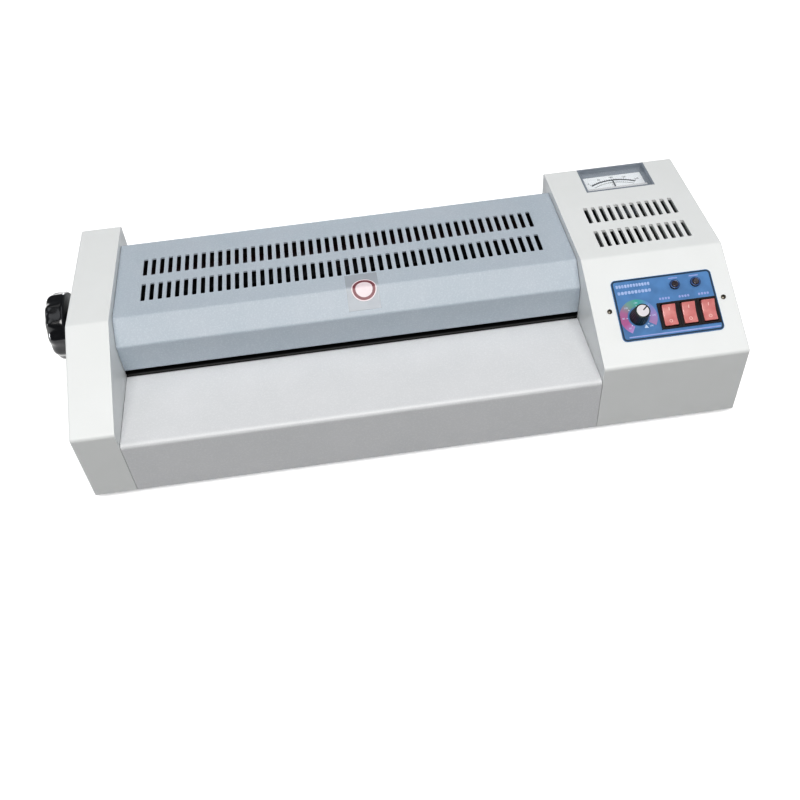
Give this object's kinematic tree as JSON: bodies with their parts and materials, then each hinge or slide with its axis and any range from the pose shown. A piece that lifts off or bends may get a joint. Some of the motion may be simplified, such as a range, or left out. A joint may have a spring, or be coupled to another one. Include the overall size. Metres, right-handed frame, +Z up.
{
  "type": "desktop laminator",
  "caption": "Desktop pouch laminator with heated rollers, a slotted cover between two end housings, a sloped control panel with rocker switches and a temperature knob, and a hand wheel.",
  "frame": {"origin": "on the surface it stands on, under the middle of the whole machine, hand wheel included", "axes": "+Z up, +X to the right towards the control housing, and the front with its tray faces -Y"},
  "size_m": [0.5246, 0.2004, 0.108],
  "materials": {
    "casing_white": "fine moulded texture, satin",
    "cover_grey": "fine textured powder coat",
    "tray_light": "fine textured powder coat",
    "pan_zinc": "zinc plated",
    "roller_steel": "ground",
    "screw_black": "black oxide",
    "silicone": "matt silicone",
    "feet_rubber": "matt",
    "wheel_black": "glossy",
    "gear_nylon": "natural nylon",
    "bearing_bronze": "sintered bronze",
    "shoe_aluminium": "extruded",
    "panel_blue": "printed film",
    "rocker_red": "glossy, translucent",
    "switch_black": "satin",
    "knob_dark": "satin",
    "cap_silver": "satin silver",
    "lens_dark": "tinted, glossy",
    "meter_grey": "satin",
    "dial_card": "printed card",
    "window_clear": "clear acrylic",
    "label_film": "thin film",
    "board_green": "solder mask",
    "motor_steel": "drawn can"
  },
  "bodies": {
    "frame": {"base_pan": "pan_zinc", "feet": "feet_rubber", "case_screws": "screw_black", "left_end_cover": "casing_white", "control_housing": "casing_white", "centre_cover": "cover_grey", "front_tray": "tray_light", "rear_tray": "tray_light", "blank_label": "label_film", "left_side_plate": "pan_zinc", "right_side_plate": "pan_zinc", "tie_bars": "roller_steel", "frame_screws": "pan_zinc", "lower_bushes": "bearing_bronze", "upper_hot_springs": "roller_steel", "upper_pull_springs": "roller_steel", "upper_heat_shoe": "shoe_aluminium", "lower_heat_shoe": "shoe_aluminium", "heater_rods": "roller_steel", "heat_sensors": "switch_black", "upper_guide": "screw_black", "lower_guide": "screw_black", "transfer_guide": "screw_black", "gear_motor": "motor_steel", "motor_bracket": "pan_zinc", "control_plate": "panel_blue", "potentiometer": "motor_steel", "switch_bodies": "switch_black", "pilot_lamps": "switch_black", "lamp_lenses": "lens_dark", "meter_body": "meter_grey", "meter_dial": "dial_card", "meter_window": "window_clear", "power_inlet": "switch_black", "control_board": "board_green"},
    "upper_hot_carriage": {"upper_hot_blocks": "bearing_bronze"},
    "upper_pull_carriage": {"upper_pull_blocks": "bearing_bronze"},
    "upper_hot_roller": {"upper_hot_core": "roller_steel", "upper_hot_sleeve": "silicone", "upper_hot_gear": "gear_nylon", "hand_wheel": "wheel_black", "hand_wheel_cap": "wheel_black"},
    "lower_hot_roller": {"lower_hot_core": "roller_steel", "lower_hot_sleeve": "silicone", "lower_hot_gear": "gear_nylon"},
    "upper_pull_roller": {"upper_pull_core": "roller_steel", "upper_pull_sleeve": "silicone", "upper_pull_gear": "gear_nylon"},
    "lower_pull_roller": {"lower_pull_core": "roller_steel", "lower_pull_sleeve": "silicone", "lower_pull_gear": "gear_nylon"},
    "idler": {"idler_gear": "gear_nylon"},
    "motor_rotor": {"motor_pinion": "gear_nylon"},
    "temperature_dial": {"temperature_knob": "knob_dark", "knob_cap": "cap_silver"},
    "heat_switch": {"heat_rocker": "rocker_red"},
    "direction_switch": {"direction_rocker": "rocker_red"},
    "power_switch": {"power_rocker": "rocker_red"},
    "needle": {"meter_needle": "switch_black"}
  },
  "joints": [
    {"name": "lower_hot_spin", "type": "hinge", "parent": "frame", "child": "lower_hot_roller", "pos_m": [0, 0.02375, 0.0415], "axis": [1, 0, 0], "continuous": true},
    {"name": "upper_hot_lift", "type": "slide", "parent": "frame", "child": "upper_hot_carriage", "axis": [0, 0, 1], "range_m": [0, 0.001], "stiffness_N_per_m": 8000, "springref_m": -0.005, "deforming": ["upper_hot_springs"]},
    {"name": "upper_hot_spin", "type": "hinge", "parent": "upper_hot_carriage", "child": "upper_hot_roller", "pos_m": [0, 0.02375, 0.0725], "axis": [1, 0, 0], "continuous": true},
    {"name": "upper_pull_lift", "type": "slide", "parent": "frame", "child": "upper_pull_carriage", "axis": [0, 0, 1], "range_m": [0, 0.001], "stiffness_N_per_m": 8000, "springref_m": -0.005, "deforming": ["upper_pull_springs"]},
    {"name": "upper_pull_spin", "type": "hinge", "parent": "upper_pull_carriage", "child": "upper_pull_roller", "pos_m": [0, 0.05875, 0.0695], "axis": [1, 0, 0], "continuous": true},
    {"name": "lower_pull_spin", "type": "hinge", "parent": "frame", "child": "lower_pull_roller", "pos_m": [0, 0.05875, 0.0445], "axis": [1, 0, 0], "continuous": true},
    {"name": "idler_spin", "type": "hinge", "parent": "frame", "child": "idler", "pos_m": [0, 0.04468, 0.02694], "axis": [1, 0, 0], "continuous": true},
    {"name": "pinion_spin", "type": "hinge", "parent": "frame", "child": "motor_rotor", "pos_m": [0, 0.0002, 0.03475], "axis": [1, 0, 0], "continuous": true},
    {"name": "temperature_turn", "type": "hinge", "parent": "frame", "child": "temperature_dial", "pos_m": [0.1856, -0.0673, 0.08584], "axis": [0, -0.44, 0.898], "range_deg": [-90, 180]},
    {"name": "heat_rock", "type": "hinge", "parent": "frame", "child": "heat_switch", "pos_m": [0.2083, -0.06901, 0.08478], "axis": [1, 0, 0], "range_deg": [-16, 0]},
    {"name": "direction_rock", "type": "hinge", "parent": "frame", "child": "direction_switch", "pos_m": [0.2233, -0.06901, 0.08478], "axis": [1, 0, 0], "range_deg": [-16, 0]},
    {"name": "power_rock", "type": "hinge", "parent": "frame", "child": "power_switch", "pos_m": [0.2383, -0.06901, 0.08478], "axis": [1, 0, 0], "range_deg": [-16, 0]},
    {"name": "meter_swing", "type": "hinge", "parent": "frame", "child": "needle", "pos_m": [0.2088, 0.05303, 0.1016], "axis": [0, 0, 1], "range_deg": [-32, 32]}
  ],
  "couplings": [
    {"joint": "upper_hot_spin", "follows": "lower_hot_spin", "ratio": -1},
    {"joint": "idler_spin", "follows": "lower_hot_spin", "ratio": -1.55},
    {"joint": "lower_pull_spin", "follows": "lower_hot_spin", "ratio": 1.24},
    {"joint": "upper_pull_spin", "follows": "lower_hot_spin", "ratio": -1.24},
    {"joint": "pinion_spin", "follows": "lower_hot_spin", "ratio": -1.7222}
  ]
}
